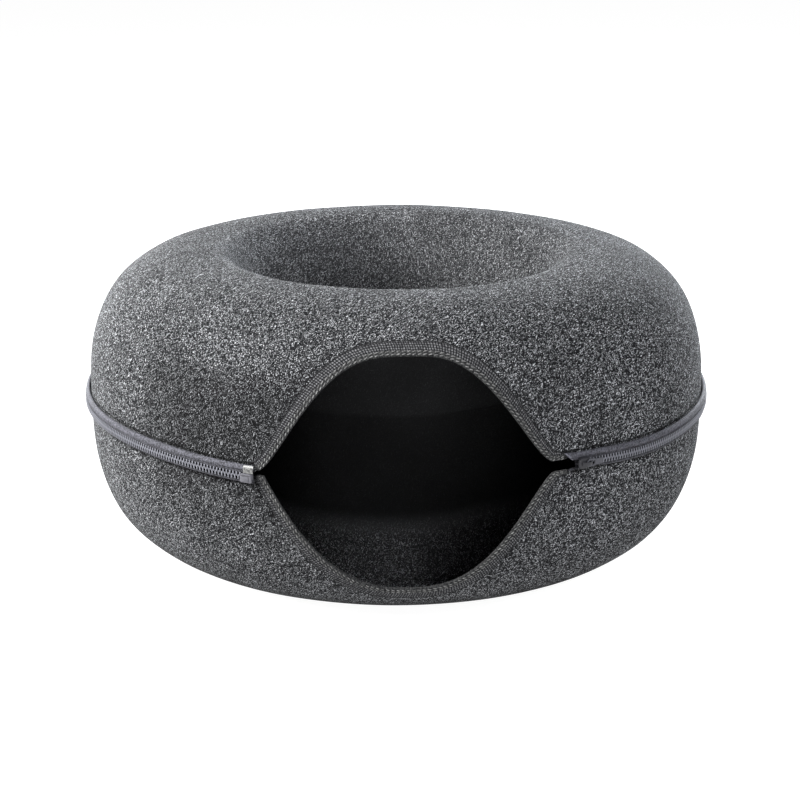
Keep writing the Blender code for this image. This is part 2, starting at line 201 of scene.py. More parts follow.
# Zones of the felt: where each starts, is full, is still full and has ended
HOLE = (150 * MM, 144 * MM)
# Painted light: the left side high in the hole is made paler
MOUTH_LIGHT_RISE = (45 * MM, 98 * MM)
MOUTH_LIGHT_SIDE = (50 * MM, -15 * MM)
RIGHT_SIDE = (60 * MM, 220 * MM)
BASE = (-66 * MM, -92 * MM)
# Painted shade inside the tunnel: lighter above the lap's edge, darker below it
LAP_SHADOW_EDGE = (8 * MM, 12 * MM)
# Painted shadows on the felt just above the upper tape and just below the lower one
SHADOW_ABOVE_TAPE = (7.5 * MM, 8.1 * MM, 8.6 * MM, 10.2 * MM)
SHADOW_BELOW_TAPE = (-4.5 * MM, -6.2 * MM, -7.0 * MM, -9.0 * MM)
# Painted shade on the felt behind the teeth
TEETH_SHADE = (-3.2 * MM, -2.2 * MM, 2.2 * MM, 3.2 * MM)
# Painted shade on the wall low down, where it rolls under towards the floor
UNDERSIDE_SHADE = (-96 * MM, -111 * MM)
# Painted shade on the lower left wall beside the entrance's left corner
LEFT_SHADE_SIDE = (-222 * MM, -150 * MM, -72 * MM, -45 * MM)
LEFT_SHADE_FRONT = (-60 * MM, -110 * MM)
LEFT_SHADE_RISE = (86 * MM, 54 * MM, -5 * MM, -66 * MM)

# Zones of the binding, tape and teeth, by their own maps
LOOPS = (5.0 * MM, 5.8 * MM)
# Painted shadow along the binding's selvedge
SELVEDGE_SHADOW = (18 * MM, 26 * MM)
TAPE_FLAT = (4.6 * MM, 3.9 * MM)
TAPE_SEALED = (1.6 * MM, 0.6 * MM)
# Painted shade down the flanks of the teeth, pale on their faces
TOOTH_LIT_FACE = (0.45 * MM, 1.15 * MM)

# Darkest and palest colour of each material
TINTS = {
    "felt": ((0.006, 0.006, 0.0068), (0.5, 0.511, 0.537)),
    "fold": ((0.007, 0.007, 0.008), (0.058, 0.059, 0.059)),
    "loops": ((0.004, 0.004, 0.005), (0.165, 0.166, 0.174)),
    "thread": ((0.025, 0.025, 0.026), (0.23, 0.23, 0.228)),
    "tape": ((0.038, 0.038, 0.047), (0.098, 0.098, 0.117)),
    # The teeth's darkest colour is painted shade down their flanks
    "teeth": ((0.006, 0.006, 0.008), (0.127, 0.129, 0.149)),
    "box": ((0.0731, 0.07225, 0.08245), (0.0989, 0.09775, 0.11155)),
    # Painted shade: the slider body is the pull's lacquer at four tenths of its tone
    "slider": ((0.0187, 0.0187, 0.0221), (0.0253, 0.0253, 0.0299)),
    "pull": ((0.04675, 0.04675, 0.05525), (0.06325, 0.06325, 0.07475)),
    "film": ((0.03, 0.03, 0.03), (0.15, 0.15, 0.148)),
    "floor": ((0.2, 0.2, 0.2), (0.22, 0.22, 0.22)),
}
# Painted shadow along the binding's selvedge, where it meets the felt
SELVEDGE_SHADOW_COLOUR = (0.008, 0.008, 0.009)

# Studio: square softboxes are azimuth, elevation, distance, size, power and tint
FLOOR_REACH = 12.0
FLOOR_DROP = 0.4 * MM
SURROUNDINGS = 0.05
LIT_HEIGHT = 0.1
SOFTBOXES = {
    "key": (-78, 33, 2.2, 1.2, 175.0, (1.0, 1.0, 0.985)),
    "front": (3, 11, 2.2, 1.0, 6.0, (1.0, 1.0, 1.0)),
    "fill": (50, 41, 2.2, 1.2, 46.0, (0.97, 0.985, 1.0)),
    "right_edge": (150, 13, 2.2, 1.0, 104.0, (0.92, 0.96, 1.0)),
    "left_edge": (-150, 13, 2.2, 1.0, 78.0, (0.95, 0.975, 1.0)),
}
CAMERA_AIM = (0.0031, -0.0073, 0.10226)
CAMERA_DISTANCE = 1.424314
CAMERA_ELEVATION = 17.559
CAMERA_LENS = 76.69
CAMERA_SENSOR = 36.0


# ---- shapes of the ring

def smooth_step(value):
    """Ease from 0 to 1: three squares of the value less two cubes, held at 0 and 1 outside."""
    held = np.clip(value, 0.0, 1.0)
    return held * held * (3 - 2 * held)


def bell(value):
    """Bump of height 1: e to the minus square of the value."""
    return np.exp(-np.square(value))


def wrap(azimuth):
    """Azimuth from -180 to 180 degrees."""
    return np.where(azimuth > 180, azimuth - 360, azimuth)


def polar(azimuth, radius, height):
    """Points on circles about the ring's axis: x is r sin(azimuth), y is the axis less r cos(azimuth)."""
    turn, radius, height = np.broadcast_arrays(np.radians(azimuth), radius, height)
    return np.stack([radius * np.sin(turn), AXIS_Y - radius * np.cos(turn), height], axis=-1)


def travelled(points):
    """Distance along a line of points from its first one."""
    return np.concatenate([[0.0], np.cumsum(np.linalg.norm(np.diff(points, axis=0), axis=1))])


def level_share(height):
    """Share of the way from the widest level up to the crown or down to the base, and whether it is up."""
    above = height >= WIDEST_HEIGHT
    reach = np.where(above, RING_HEIGHT - WIDEST_HEIGHT, WIDEST_HEIGHT + BASE_DROP)
    return np.clip(np.abs(height - WIDEST_HEIGHT) / reach, 0.0, 1.0), above


def quarter_arc(share, power):
    """Reach of a superellipse quarter at a share of its height: (1 - share^p)^(1/p)."""
    return (1 - share ** power) ** (1 / power)


def outer_radius_at(height):
    """Radius of the outer wall: crown radius plus the reach of a superellipse quarter."""
    share, above = level_share(height)
    power = np.where(above, UPPER_SHOULDER, LOWER_SHOULDER)
    return CROWN_RADIUS + (OUTER_RADIUS - CROWN_RADIUS) * quarter_arc(share, power)


def drawn_in(azimuth, radius, height):
    """Distance that the hole's wall stands further in than its plain profile, from crown to seam.

    Round its sides and back the mouth is a fuller superellipse quarter, and its left side is drawn in more.
    """
    share, above = level_share(height)
    fuller = quarter_arc(share, SOFT_MOUTH) - quarter_arc(share, HOLE_MOUTH)
    soft = (CROWN_RADIUS - HOLE_RADIUS) * fuller * smooth_step((np.abs(azimuth) - SOFT_FROM) / SOFT_EASE)
    at_left = bell((azimuth - DRAWN_AZIMUTH) / DRAWN_WIDTH)
    left = DRAWN_IN * at_left * smooth_step((CROWN_RADIUS - radius) / DRAWN_EASE)
    high = smooth_step((height - SEAM_HIGH) / MOUTH_EASE)
    return np.where(above & (radius < CROWN_RADIUS), (soft + left) * high, 0.0)


def zip_level(azimuth):
    """Height of the zip's middle: a level line with low swells, behind the slider and at the left."""
    swell = sum(rise * bell((azimuth - centre) / width) for rise, centre, width in ZIP_SWELLS)
    return ZIP_HEIGHT + (swell - ZIP_SINK)


def outer_slope(height):
    """Change of the outer wall's radius for each metre up, by central difference."""
    step = 0.2 * MM
    return (outer_radius_at(height + step) - outer_radius_at(height - step)) / (2 * step)


def on_wall(azimuth, height, proud):
    """Points over the outer wall by a distance along its outward normal."""
    slope = outer_slope(height)
    length = np.hypot(1.0, slope)
    return polar(azimuth, outer_radius_at(height) + proud / length, height - proud * slope / length)


def lip_share(azimuth, lip):
    """Height over the lip's ends as a share of its crest: a cosine of the reach raised to powers, by side."""
    left = azimuth < lip["centre"]
    reach, sharpness, flare, end = (
        np.where(left, lip["left"][key], lip["right"][key]) for key in ("reach", "sharpness", "flare", "end")
    )
    away = np.clip(np.abs(azimuth - lip["centre"]) / reach, 0.0, 1.0)
    return np.clip(np.cos(math.pi / 2 * away ** sharpness), 0.0, 1.0) ** flare, end


def lip_height(azimuth, lip):
    """Height of the finished edge of a lip."""
    share, end = lip_share(azimuth, lip)
    return end + (lip["crest"] - end) * share


def lip_run(lip):
    """Stations at equal steps along a lip: azimuth, height, direction into the felt, distance from its start.

    The direction is (sideways, up) on the wall's face, square to the lip.
    """
    azimuth = np.linspace(lip["start"], BINDING_END, 4 * LIP_STATIONS)
    distance = travelled(on_wall(azimuth, lip_height(azimuth, lip), 0.0))
    even = np.linspace(0.0, distance[-1], LIP_STATIONS)
    azimuth = np.interp(even, distance, azimuth)
    height = lip_height(azimuth, lip)
    run = np.gradient(np.radians(azimuth)) * outer_radius_at(height)
    slant = np.gradient(height) * np.hypot(1.0, outer_slope(height))
    length = np.hypot(run, slant)
    into = np.stack([-slant / length, run / length], axis=-1) * lip["sign"]
    return azimuth, height, into, even


def follow(azimuth, height, into, across):
    """Walk along the outer wall from the lip by the distance across, in six strides."""
    strides = 6
    for _ in range(strides):
        stride = across / strides
        climb = into[..., 1] * stride / np.hypot(1.0, outer_slope(height))
        azimuth = azimuth + np.degrees(into[..., 0] * stride / outer_radius_at(height))
        height = height + climb
    return azimuth, height


def unevenness(points):
    """Soft waves of pressed felt: the mean of seeded sines of the place, each of its own way and length."""
    draw = np.random.default_rng(WAVE_SEED)
    total = np.zeros(points.shape[:-1])
    for _ in range(WAVE_COUNT):
        way = draw.normal(size=3)
        way = way / np.linalg.norm(way) * 2 * math.pi / draw.uniform(*WAVE_LENGTHS)
        total = total + np.sin(points @ way + draw.uniform(0, 2 * math.pi))
    return total / WAVE_COUNT


# ---- meshes

def grid_faces(rows, columns, wrap_rows=False):
    """Corner numbers of the quads between points stored row by row, each row closed on itself."""
    row = np.arange(rows if wrap_rows else rows - 1)[:, None]
    column = np.arange(columns)[None, :]
    here, below, beside = row * columns, (row + 1) % rows * columns, (column + 1) % columns
    return np.stack([here + column, here + beside, below + beside, below + column], axis=-1).reshape(-1, 4)


def signed_volume(points, faces):
    """Six times the volume that the quads enclose, from the triple products of their corners."""
    a, b, c, d = (points[faces[:, corner]] for corner in range(4))
    return np.sum(a * np.cross(b, c)) + np.sum(a * np.cross(c, d))


def make_piece(name, shape, finish, chart=None, sharp=40.0):
    """Object at the origin from a shape of points, quads and end caps, its faces turned outwards.

    It rides on the part. A chart is the two values of its map at each point.
    """
    points, faces, caps = shape
    if signed_volume(points - np.array([0.0, AXIS_Y, 0.0]), faces) < 0:
        faces = faces[:, ::-1]
        caps = [cap[::-1] for cap in caps]
    mesh = bpy.data.meshes.new(name)
    mesh.from_pydata(points.tolist(), [], faces.tolist() + caps)
    if chart is not None:
        corner = np.empty(len(mesh.loops), np.int32)
        mesh.loops.foreach_get("vertex_index", corner)
        uv = np.stack(np.broadcast_arrays(*chart), axis=-1).reshape(-1, 2)
        mesh.uv_layers.new(name="strip").data.foreach_set("uv", uv[corner].astype(np.float32).ravel())
    mesh.materials.append(finish)
    mesh.shade_smooth()
    mesh.set_sharp_from_angle(angle=math.radians(sharp))
    mesh.update()
    piece = bpy.data.objects.new(name, mesh)
    bpy.context.scene.collection.objects.link(piece)
    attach(piece, "root")
    return piece


def ring(rows):
    """Shape of a tube closed on itself, from stations by points round by xyz."""
    return rows.reshape(-1, 3), grid_faces(*rows.shape[:2], wrap_rows=True), []


def tube(rings):
    """Shape of a tube with flat end caps, from stations by points round by xyz."""
    stations, around = rings.shape[:2]
    last = (stations - 1) * around
    caps = [list(range(around))[::-1], list(range(last, last + around))]
    return rings.reshape(-1, 3), grid_faces(stations, around), caps


def joined(shapes):
    """Several shapes as one."""
    points, faces, caps, start = [], [], [], 0
    for shape_points, shape_faces, shape_caps in shapes:
        points.append(shape_points)
        faces.append(shape_faces + start)
        caps += [[corner + start for corner in cap] for cap in shape_caps]
        start += len(shape_points)
    return np.concatenate(points), np.concatenate(faces), caps


# ---- materials

class Value:
    """An output socket in a material's tree; arithmetic on it adds Math nodes."""

    def __init__(self, socket):
        self.socket = socket

    def math(self, operation, *inputs):
        settings = {"operation": operation}
        return add_node(self.socket.id_data, "ShaderNodeMath", settings, dict(enumerate(inputs)))

    def __add__(self, other):
        return self.math("ADD", self, other)

    def __sub__(self, other):
        return self.math("SUBTRACT", self, other)

    def __rsub__(self, other):
        return self.math("SUBTRACT", other, self)

    def __mul__(self, other):
        return self.math("MULTIPLY", self, other)

    def power(self, exponent):
        return self.math("POWER", self, exponent)

    def cosine(self):
        return self.math("COSINE", self)

    def sine(self):
        return self.math("SINE", self)

    __radd__ = __add__


def add_node(tree, kind, settings=None, inputs=None, output=0):
    """Add a node with its settings, then values or links for its sockets."""
    node = tree.nodes.new(kind)
    for key, value in (settings or {}).items():
        setattr(node, key, value)
    for key, value in (inputs or {}).items():
        if isinstance(value, Value):
            tree.links.new(value.socket, node.inputs[key])
        else:
            node.inputs[key].default_value = value
    return Value(node.outputs[output])


class Finish:
    """One material under construction: a Principled shader and the nodes that feed it."""

    def __init__(self, name, **constants):
        self.material = bpy.data.materials.new(name)
        self.material.use_nodes = True
        self.tree = self.material.node_tree
        self.shader = self.tree.nodes["Principled BSDF"]
        for socket, value in constants.items():
            self.shader.inputs[socket.replace("_", " ")].default_value = value

    def node(self, kind, settings=None, inputs=None, output=0):
        return add_node(self.tree, kind, settings, inputs, output)

    def feed(self, socket, value):
        self.tree.links.new(value.socket, self.shader.inputs[socket])

    def place(self):
        """Object coordinates in metres."""
        return self.node("ShaderNodeTexCoord", output=3)

    def strip(self):
        """The two values of the piece's own map, as a rule the metres along a strip and across it."""
        both = self.node("ShaderNodeUVMap", {"uv_map": "strip"})
        return self.split(both, 0), self.split(both, 1)

    def split(self, vector, output):
        return self.node("ShaderNodeSeparateXYZ", None, {0: vector}, output)

    def noise(self, vector, scale, detail=2.0):
        """Noise from 0 to 1 with features about 1 / scale metres across."""
        return self.node("ShaderNodeTexNoise", None, {"Vector": vector, "Scale": scale, "Detail": detail})

    def cells(self, vector, scale):
        """Random cells: the distance from the nearest one's middle, and a number from 0 to 1 that it owns."""
        away = self.node("ShaderNodeTexVoronoi", None, {"Vector": vector, "Scale": scale})
        return away, self.split(Value(away.socket.node.outputs["Color"]), 0)

    def ease(self, value, start, end):
        """Smooth step of a value from 0 at start to 1 at end."""
        settings = {"interpolation_type": "SMOOTHSTEP"}
        return self.node("ShaderNodeMapRange", settings, {0: value, 1: start, 2: end, 3: 0.0, 4: 1.0})

    def patches(self, scale, detail=2.0):
        """Noise of the place with its middle tones spread from 0 to 1."""
        return self.ease(self.noise(self.place(), scale, detail), 0.3, 0.7)

    def zone(self, value, limits):
        """Share of 1 inside limits: eased in between the first two, and out again between the last two."""
        share = self.ease(value, *limits[:2])
        return share * self.ease(value, limits[3], limits[2]) if len(limits) == 4 else share

    def blend(self, share, first, second):
        """Colour mixed from the first to the second by a share."""
        first, second = (part if isinstance(part, Value) else (*part, 1.0) for part in (first, second))
        return self.node("ShaderNodeMix", {"data_type": "RGBA"}, {"Factor": share, 6: first, 7: second}, 2)

    def mix(self, share, first, second):
        """Number mixed from the first to the second by a share."""
        return self.node("ShaderNodeMix", {"data_type": "FLOAT"}, {"Factor": share, 2: first, 3: second})

    def shade(self, colour, factor):
        """Colour multiplied by a number."""
        return self.node("ShaderNodeVectorMath", {"operation": "SCALE"}, {0: colour, "Scale": factor})

    def bump(self, height, distance, strength=1.0):
        """Relief of a height from 0 to 1, its full depth a distance in metres, on the shader's normal."""
        relief = {"Height": height, "Distance": distance, "Strength": strength}
        self.feed("Normal", self.node("ShaderNodeBump", None, relief))


def fibre_tone(finish, place):
    """Tone of short fibres, each of its own grey, lying every way.

    Each lay of fibres is a field of stretched cells with a tone for each cell, dark between the cells.
    Coarser cells choose which lay shows, so that bundles cross.
    """
    _, pick = finish.cells(place, BUNDLES_PER_METRE)
    tone = None
    for index, turn in enumerate(FIBRE_LAYS):
        laid = finish.node("ShaderNodeMapping", {"vector_type": "TEXTURE"}, {
            "Vector": place, "Location": (0.01 * index, 0.02, 0.03 * index), "Rotation": turn,
            "Scale": FIBRE_SIZE,
        })
        away, own = finish.cells(laid, 1.0)
        one = own * finish.ease(away, 0.8, 0.2)
        start = index / len(FIBRE_LAYS)
        tone = one if tone is None else finish.mix(finish.ease(pick, start - 0.02, start + 0.02), tone, one)
    return tone


def felt_finish():
    """Marled needle felt: fibres of many greys with soft clouds and a matted relief.

    The felt's map gives how far in its thickness a place lies and its rise over the zip. The marl is stronger
    at the right and weaker in the hole. Painted shade darkens the inside of the tunnel, and painted shadows
    lie just above and below the tapes. Painted shade also darkens the felt behind the teeth, the wall low
    down where it rolls under, and the lower left wall beside the entrance's left corner. A painted light
    makes the left side high in the hole paler.
    """
    finish = Finish("marled_felt", Roughness=0.96, Specular_IOR_Level=0.08)
    place = finish.place()
    within, rise = finish.strip()
    side, front = finish.split(place, 0), finish.split(place, 1)
    behind_axis = front - AXIS_Y
    from_axis = (side * side + behind_axis * behind_axis).power(0.5)
    in_hole = finish.zone(from_axis, HOLE)
    at_right = finish.zone(side, RIGHT_SIDE)
    on_base = finish.zone(rise, BASE)

    tone = fibre_tone(finish, place)
    mottle = finish.patches(380.0, 1.0)
    contrast = 1.12 + at_right * 0.3 - in_hole * 0.3
    marl = (tone.power(2.0) * (mottle * 0.2 + 0.88) - MARL_MEAN) * contrast + MARL_MEAN
    marl = finish.mix(within * (1.0 - on_base), marl, marl * 0.35 + 0.22)
    colour = finish.blend(marl, *TINTS["felt"])

    # Painted light: paler high on the hole's left side
    painted_mouth_light = in_hole * finish.zone(rise, MOUTH_LIGHT_RISE) * finish.zone(side, MOUTH_LIGHT_SIDE)
    # Painted shade on the lower left wall beside the entrance's left corner
    painted_left_shade = finish.zone(side, LEFT_SHADE_SIDE) * finish.zone(front, LEFT_SHADE_FRONT) * finish.zone(rise, LEFT_SHADE_RISE)
    # Painted shadows on the felt just above and below the tapes
    painted_tape_shadow = finish.zone(rise, SHADOW_ABOVE_TAPE) * 0.75 + finish.zone(rise, SHADOW_BELOW_TAPE) * 0.6
    # Painted shade on the felt that shows between the teeth
    painted_teeth_shade = finish.zone(rise, TEETH_SHADE)
    # Painted shade low on the wall, where it rolls under
    painted_underside_shade = finish.zone(rise, UNDERSIDE_SHADE)
    # Tone of the outside face: the painted shadows and shade above, and the painted light in the hole
    outer = (1.0 - painted_tape_shadow - painted_teeth_shade * 0.85) * (1.0 - painted_underside_shade * 0.6)
    outer = outer * (1.0 - painted_left_shade * 0.46 + painted_mouth_light * 0.5)
    # Painted shade inside the tunnel: about a tenth of the tone, a little lighter above the lap's edge; the
    # floor inside keeps its full tone
    inner = finish.mix(on_base, finish.zone(rise, LAP_SHADOW_EDGE) * 0.04 + 0.098, 1.0)
    clouds = finish.noise(place, 22.0, 3.0) * 0.7 + 0.65
    finish.feed("Base Color", finish.shade(colour, clouds * finish.mix(within, outer, inner)))
    finish.bump(tone * 0.8 + mottle * 0.3, 0.6 * MM, 0.8)
    return finish.material


def knit_binding_finish():
    """Knitted binding: a plain fold, then a dark ground with courses of pale loops, and a painted shadow
    along the selvedge.

    The map's distance across is measured round the section, and it jumps at the selvedge, which marks where
    the painted shadow lies.
    """
    finish = Finish("knit_binding", Roughness=0.9, Specular_IOR_Level=0.12)
    along, across = finish.strip()
    strayed = finish.noise(finish.place(), 300.0, 1.0) * 4.0
    course = along * (2 * math.pi / RIB_PITCH) + across * (0.9 / MM) + strayed
    wale = across * (2 * math.pi / WALE_PITCH) + strayed
    column = course.cosine() * 0.5 + 0.5
    row = wale.cosine() * 0.45 + 0.55
    uneven = finish.patches(700.0)
    fold = finish.blend(uneven * (column * 0.5 + 0.5), *TINTS["fold"])
    ground = finish.blend(column * row * (uneven + 0.3), *TINTS["loops"])
    cloth = finish.blend(finish.zone(across, LOOPS), fold, ground)
    # Painted shadow along the selvedge
    finish.feed("Base Color", finish.blend(finish.zone(across, SELVEDGE_SHADOW), cloth, SELVEDGE_SHADOW_COLOUR))
    finish.bump(column * 0.6 + uneven * 0.4, 0.25 * MM)
    return finish.material


def thread_finish():
    """Sewing thread: pale grey, twisted, soiled in places."""
    finish = Finish("sewing_thread", Roughness=0.7, Specular_IOR_Level=0.2)
    twist = finish.noise(finish.place(), 1500.0, 1.0)
    shade = finish.ease(twist, 0.3, 0.7) * 0.5 + finish.patches(260.0, 1.0) * 0.5
    finish.feed("Base Color", finish.blend(shade, *TINTS["thread"]))
    finish.bump(twist, 0.05 * MM)
    return finish.material


def zip_tape_finish(name, tone):
    """Woven zip tape: violet grey, fine cross weave, darker by the teeth and paler at its sealed end."""
    finish = Finish(name, Roughness=0.75, Specular_IOR_Level=0.2)
    along, across = finish.strip()
    warp = (across * (2 * math.pi / (0.55 * MM))).sine()
    weft = (along * (2 * math.pi / (0.7 * MM))).sine()
    weave = warp * weft * 0.5 + 0.5
    # The tone scales the weave's tints; the lower tape's lower tone is painted shade
    colour = finish.blend(weave, *(tuple(tone * part for part in tint) for tint in TINTS["tape"]))
    worn = finish.patches(750.0) * 1.3 + 0.35
    flat = finish.zone(across, TAPE_FLAT) * 0.4
    sealed = finish.zone(along, TAPE_SEALED) * 1.2
    finish.feed("Base Color", finish.shade(colour, worn * (1.0 - flat) + sealed))
    finish.bump(weave, 0.08 * MM)
    return finish.material


def plastic_finish(name, tints, roughness=0.45, painted_flank_shade=False, **constants):
    """Moulded plastic: its colour drifts a little, with fine flow marks in the gloss.

    With painted flank shade it is pale on its face and painted dark down its flanks, for the shade between
    the teeth, by the first distance of its map: how far out.
    """
    finish = Finish(name, Specular_IOR_Level=0.2, **constants)
    drift = finish.noise(finish.place(), 300.0)
    # Painted shade down the flanks of the teeth
    share = finish.zone(finish.strip()[0], TOOTH_LIT_FACE) * (drift * 0.6 + 0.7) if painted_flank_shade else drift
    finish.feed("Base Color", finish.blend(share, *tints))
    finish.feed("Roughness", drift * 0.2 + (roughness - 0.1))
    finish.bump(drift, 0.03 * MM)
    return finish.material


def film_finish():
    """Milky stiffening film over the end of the tape, with fine specks."""
    finish = Finish("stiffening_film", Roughness=0.4, Coat_Weight=0.15)
    specks = finish.noise(finish.place(), 900.0)
    finish.feed("Base Color", finish.blend(finish.ease(specks, 0.35, 0.65), *TINTS["film"]))
    finish.bump(specks, 0.08 * MM)
    return finish.material


def floor_finish():
    """Pale matt floor that glows a little, its tone drifting a touch."""
    finish = Finish("pale_floor", Roughness=0.9, Emission_Color=(1.0, 1.0, 1.0, 1.0), Emission_Strength=0.96)
    finish.feed("Base Color", finish.blend(finish.noise(finish.place(), 3.0), *TINTS["floor"]))
    return finish.material


# ---- felt halves

def felt_profile(half):
    """Fine line of (radius, height) along one half's outer face, from the zip to the seam in the hole wall.

    Quarter superellipses run over the turn as (cos^(2/p), sin^(2/p)). The lower half's base is held at the
    floor, and the upper half steps behind the lower one by the lap, below the seam's height.
    """
    turn = np.linspace(0.0, math.pi / 2, QUARTER_POINTS)
    rise = RING_HEIGHT - WIDEST_HEIGHT
    drop = -(WIDEST_HEIGHT + BASE_DROP)

    def quarter(reach, tall, power):
        across, up = np.cos(turn) ** (2 / power), np.sin(turn) ** (2 / power)
        return np.stack([CROWN_RADIUS + reach * across, WIDEST_HEIGHT + tall * up], axis=-1)

    shoulder = quarter(OUTER_RADIUS - CROWN_RADIUS, rise, UPPER_SHOULDER)
    mouth = quarter(HOLE_RADIUS - CROWN_RADIUS, rise, HOLE_MOUTH)
    if half == "upper":
        wall = mouth[::-1]
        wall = wall[wall[:, 1] >= SEAM_LOW]
        line = np.concatenate([shoulder, wall[1:]])
        in_hole = line[:, 0] < CROWN_RADIUS
        behind = 1 - smooth_step((line[:, 1] - SEAM_HIGH - GAP) / (2 * SEAM_BEND))
        line[:, 0] += np.where(in_hole, LAP * behind, 0.0)
        return line
    above = shoulder[shoulder[:, 1] < ZIP_HEIGHT + 10 * MM][::-1]
    flank = quarter(OUTER_RADIUS - CROWN_RADIUS, drop, LOWER_SHOULDER)
    foot = quarter(HOLE_RADIUS - CROWN_RADIUS, drop, HOLE_FOOT)[::-1]
    wall = mouth[mouth[:, 1] <= SEAM_HIGH]
    line = np.concatenate([above, flank[1:], foot[1:], wall[1:]])
    line[:, 1] = np.maximum(line[:, 1], 0.0)
    return line


def in_entrance(azimuth, lip):
    """Share of 1 along a lip and 0 beside the zip, eased at both corners."""
    after_start = smooth_step((azimuth - lip["start"] + CORNER_LEAD) / LEFT_EASE)
    return after_start * smooth_step((SLIDER_MOUTH - azimuth) / RIGHT_EASE)


def felt_edge(half, azimuth):
    """Height of a half's edge: beside the zip all round, set back from the lip in the entrance."""
    lip = LIPS[half]
    beside_zip = zip_level(azimuth) + lip["sign"] * GAP / 2
    lip_azimuth, height, into, _ = lip_run(lip)
    set_azimuth, set_height = follow(lip_azimuth, height, into, BINDING_THICKNESS + BINDING_GAP)
    order = np.argsort(set_azimuth)
    inside = np.interp(azimuth, set_azimuth[order], set_height[order])
    return beside_zip + (inside - beside_zip) * in_entrance(azimuth, lip)


def felt_section():
    """Section of the felt as three rows: share of the way along the face, inset from its ends, and depth.

    It runs along the outer face, round the edge at the seam, back inside and round the edge at the zip.
    """
    rim, deep = FELT_EDGE_ROUND, FELT_THICKNESS
    face = np.linspace(0.0, 1.0, FELT_ROWS)
    turn_in = np.array([0.3 * rim, 0.0, 0.0, 0.0, 0.3 * rim])
    turn_deep = np.array([0.3 * rim, rim, deep / 2, deep - rim, deep - 0.3 * rim])
    share = np.concatenate([face, np.ones(5), face[::-1], np.zeros(5)])
    inset = np.concatenate([rim * (1 - 2 * face), -turn_in, rim * (1 - 2 * face[::-1]), turn_in])
    return share, inset, np.concatenate([0 * face, turn_deep, 0 * face + deep, turn_deep[::-1]])


def felt_half(half, finish):
    """Shell of one half: a closed section carried round the ring.

    Under a binding the felt is pressed thin and its cut is slanted. Its waves fade out towards the edges and
    the floor.
    """
    line = felt_profile(half)
    lip = LIPS[half]
    along = travelled(line)
    outward = np.stack([np.gradient(line[:, 1]), -np.gradient(line[:, 0])], axis=-1) * lip["sign"]
    outward /= np.linalg.norm(outward, axis=1)[:, None]

    coarse = np.arange(FINE_TO, FINE_FROM + 360, COARSE_STEP)
    azimuth = wrap(np.concatenate([np.arange(FINE_FROM, FINE_TO, FINE_STEP), coarse]))[:, None]
    in_lip = in_entrance(azimuth, lip)
    outer_part = line[:, 0] > CROWN_RADIUS
    heights = line[outer_part, 1]
    order = np.argsort(heights)
    start = np.interp(felt_edge(half, azimuth), heights[order], along[outer_part][order])
    end = along[-1]

    share, inset, depth = felt_section()
    reached = start + (end - start) * share + inset
    from_start = reached - start
    pressed = PRESSED_SHARE * in_lip * (1 - smooth_step((from_start - PRESSED_WIDTH) / PRESSED_EASE))
    depth = depth * (1 - pressed)
    reached = reached + lip["bevel"] * in_lip * depth * (1 - share)
    from_edge = np.minimum(from_start, end - reached)
    radius, height, out, up = (
        np.interp(reached, along, column) for column in (line[:, 0], line[:, 1], outward[:, 0], outward[:, 1])
    )
    radius = radius - drawn_in(azimuth, radius, height)
    wave = unevenness(polar(azimuth, radius, height)) * smooth_step((from_edge - WAVE_FROM_EDGE) / WAVE_EASE)
    standing = smooth_step(height / STANDING_HEIGHT) if half == "lower" else 1.0
    proud = WAVE_HEIGHT * wave * standing - depth
    points = polar(azimuth, radius + out * proud, height + up * proud)
    # How far in the thickness a place lies: the inside face carries the painted shade of the tunnel
    within = smooth_step((depth - 0.5 * MM) / (2 * MM))
    return make_piece("felt_fine_" + half, ring(points), finish, (within, height - zip_level(azimuth)))


# ---- bindings

def band_width(azimuth, lip):
    """Width of the binding's outer leg: widest at the crest, tucked away at its right end."""
    share, _ = lip_share(azimuth, lip)
    narrow = np.where(azimuth < lip["centre"], lip["band_left"], lip["band_right"])
    tucked = lip["tucked"] * smooth_step((azimuth - BINDING_END + 2.5) / 2.0)
    return (narrow + (lip["band_middle"] - narrow) * share) * (1 - tucked)


def beyond(along, distance, column):
    """Value of a run's column at distances along it, carried straight on before its first station."""
    slope = (column[1] - column[0]) / (distance[1] - distance[0])
    return np.interp(along, distance, column) + np.minimum(along, 0.0) * slope


def on_strip(run, along, across, proud):
    """Points of a strip folded over a lip: distance along the lip, across into the felt and proud of it."""
    azimuth, height, into, distance = run
    here = beyond(along, distance, azimuth)
    level = beyond(along, distance, height)
    way = np.stack([np.interp(along, distance, into[:, part]) for part in range(2)], axis=-1)
    here, level = follow(here, level, way, across)
    return on_wall(here, level, proud)


def binding_line(lip, wide):
    """Middle line of a binding's section at every station: outer leg, half an ellipse, inner leg."""
    outer = BINDING_GAP + BINDING_THICKNESS / 2
    inner = -FELT_THICKNESS * (1 - PRESSED_SHARE) - outer
    turn = np.linspace(0.0, math.pi, 15)[1:-1]
    leg = np.linspace(1.0, 0.0, LEG_POINTS)
    back = BINDING_FOLD + (BINDING_INSIDE_BAND - BINDING_FOLD) * np.linspace(0.0, 1.0, 7)
    edge = BINDING_FOLD - (BINDING_FOLD - BINDING_THICKNESS / 2) * np.sin(turn)
    same = np.tile(np.concatenate([edge, back]), (len(wide), 1))
    across = np.concatenate([BINDING_FOLD + (wide - BINDING_FOLD) * leg, same], axis=1)
    round_fold = (outer + inner) / 2 + (outer - inner) / 2 * np.cos(turn)
    proud = np.concatenate([np.full(leg.shape, outer), round_fold, np.full(back.shape, inner)])
    return across + lip["bevel"] * np.clip(outer - proud, 0.0, None), np.tile(proud, (len(wide), 1))


